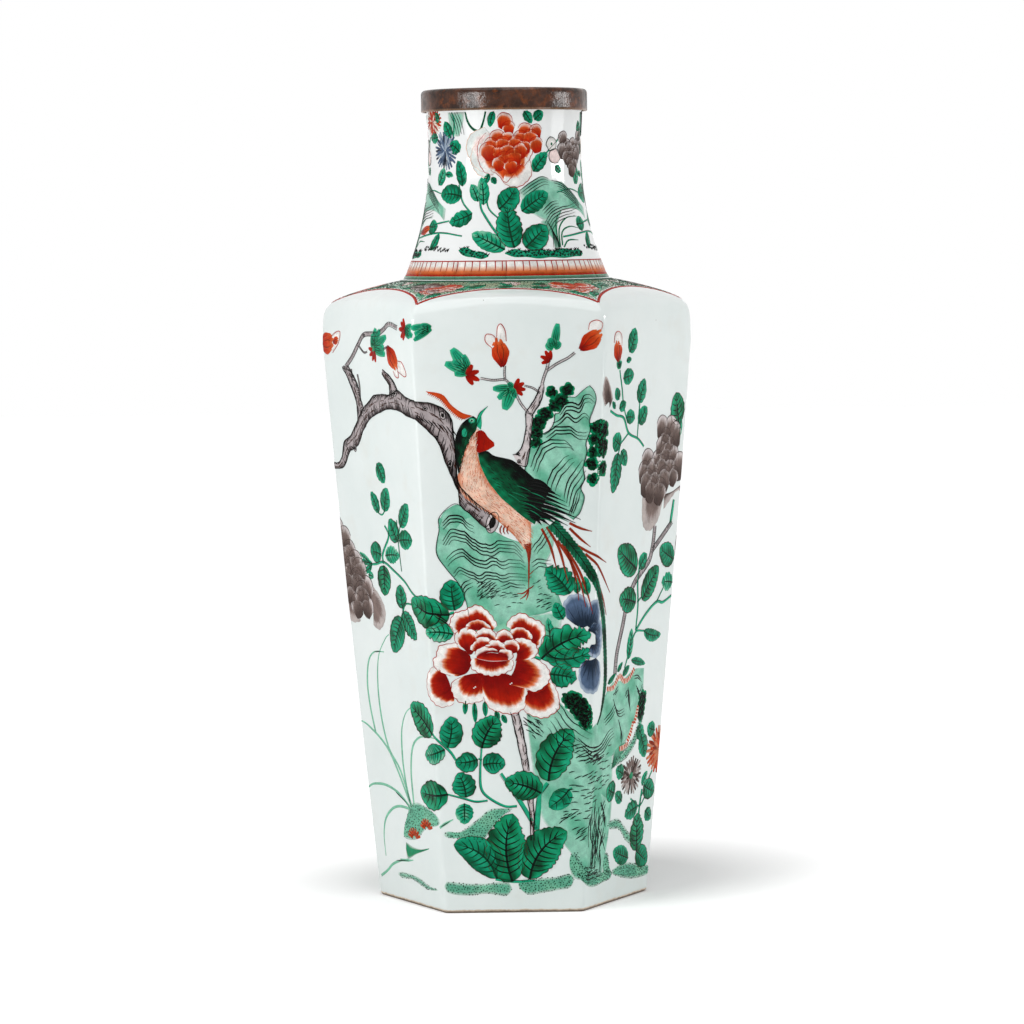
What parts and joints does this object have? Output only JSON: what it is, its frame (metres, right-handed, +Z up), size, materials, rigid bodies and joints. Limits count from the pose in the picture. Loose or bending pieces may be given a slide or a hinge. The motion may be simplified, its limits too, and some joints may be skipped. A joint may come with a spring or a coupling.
{
  "type": "hexagonal vase",
  "caption": "Tall hexagonal porcelain vase with outward-leaning faces, a moulded shoulder, a round waisted neck and a metal collar on the lip.",
  "frame": {"origin": "on the ground at the middle of the foot", "axes": "+Z up along the vase's axis; -Y out of the front face; +X to the right of someone who looks at the front face"},
  "size_m": [0.2196, 0.1912, 0.48],
  "materials": {
    "porcelain": "clear glaze over white porcelain, painted in overglaze enamels",
    "biscuit": "unglazed, dry, slightly browned",
    "slip": "matt, smeared by finger",
    "cement": "rough",
    "collar": "brown patina, half polished"
  },
  "bodies": {
    "root": {"wall_slab_front": "porcelain", "wall_slab_front_right": "porcelain", "wall_slab_back_right": "porcelain", "wall_slab_back": "porcelain", "wall_slab_back_left": "porcelain", "wall_slab_front_left": "porcelain", "corner_slip_front_right": "slip", "corner_slip_right": "slip", "corner_slip_back_right": "slip", "corner_slip_back_left": "slip", "corner_slip_left": "slip", "corner_slip_front_left": "slip", "base_slab": "biscuit", "base_slip": "slip", "shoulder": "porcelain", "shoulder_slip": "slip", "neck": "porcelain", "neck_slip": "slip", "rim_cement": "cement", "rim_collar": "collar"}
  },
  "joints": []
}
